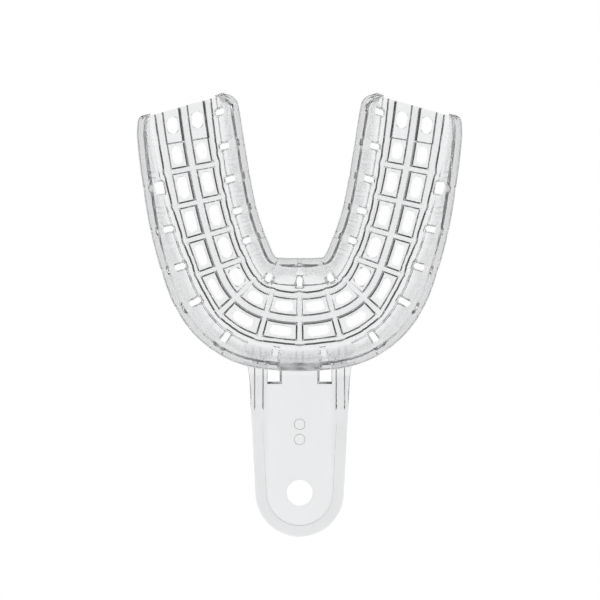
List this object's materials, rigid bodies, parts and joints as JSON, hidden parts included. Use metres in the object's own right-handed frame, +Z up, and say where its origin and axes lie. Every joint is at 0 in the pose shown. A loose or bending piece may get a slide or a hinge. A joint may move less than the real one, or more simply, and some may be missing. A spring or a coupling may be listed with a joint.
{
  "type": "dental impression tray",
  "caption": "Clear plastic lower full-arch impression tray: perforated, ribbed trough with slotted side walls, rim-lock beads and a flat handle with a hanging hole.",
  "frame": {"origin": "on the resting surface, under the centre of the tray's box", "axes": "+Z up out of the trough, +Y from the handle towards the open heels, +X to the right seen from above with the handle towards the viewer"},
  "size_m": [0.076, 0.105, 0.012],
  "materials": {
    "clear_plastic": "clear, smooth moulded gloss"
  },
  "bodies": {
    "root": {"arch_floor": "clear_plastic", "outer_rib": "clear_plastic", "middle_rib": "clear_plastic", "inner_rib": "clear_plastic", "cross_rib_outer_01": "clear_plastic", "cross_rib_outer_02": "clear_plastic", "cross_rib_outer_03": "clear_plastic", "cross_rib_outer_04": "clear_plastic", "cross_rib_outer_05": "clear_plastic", "cross_rib_outer_06": "clear_plastic", "cross_rib_outer_07": "clear_plastic", "cross_rib_outer_08": "clear_plastic", "cross_rib_outer_09": "clear_plastic", "cross_rib_outer_10": "clear_plastic", "cross_rib_outer_11": "clear_plastic", "cross_rib_outer_12": "clear_plastic", "cross_rib_outer_13": "clear_plastic", "cross_rib_inner_01": "clear_plastic", "cross_rib_inner_02": "clear_plastic", "cross_rib_inner_03": "clear_plastic", "cross_rib_inner_04": "clear_plastic", "cross_rib_inner_05": "clear_plastic", "cross_rib_inner_06": "clear_plastic", "cross_rib_inner_07": "clear_plastic", "cross_rib_inner_08": "clear_plastic", "cross_rib_inner_09": "clear_plastic", "cross_rib_inner_10": "clear_plastic", "cross_rib_inner_11": "clear_plastic", "cross_rib_inner_12": "clear_plastic", "cross_rib_inner_13": "clear_plastic", "buccal_flange": "clear_plastic", "lingual_flange": "clear_plastic", "buccal_rim_bead": "clear_plastic", "lingual_rim_bead": "clear_plastic", "handle_plate": "clear_plastic", "handle_rail_left": "clear_plastic", "handle_rail_right": "clear_plastic", "handle_end_rim": "clear_plastic"}
  },
  "joints": []
}
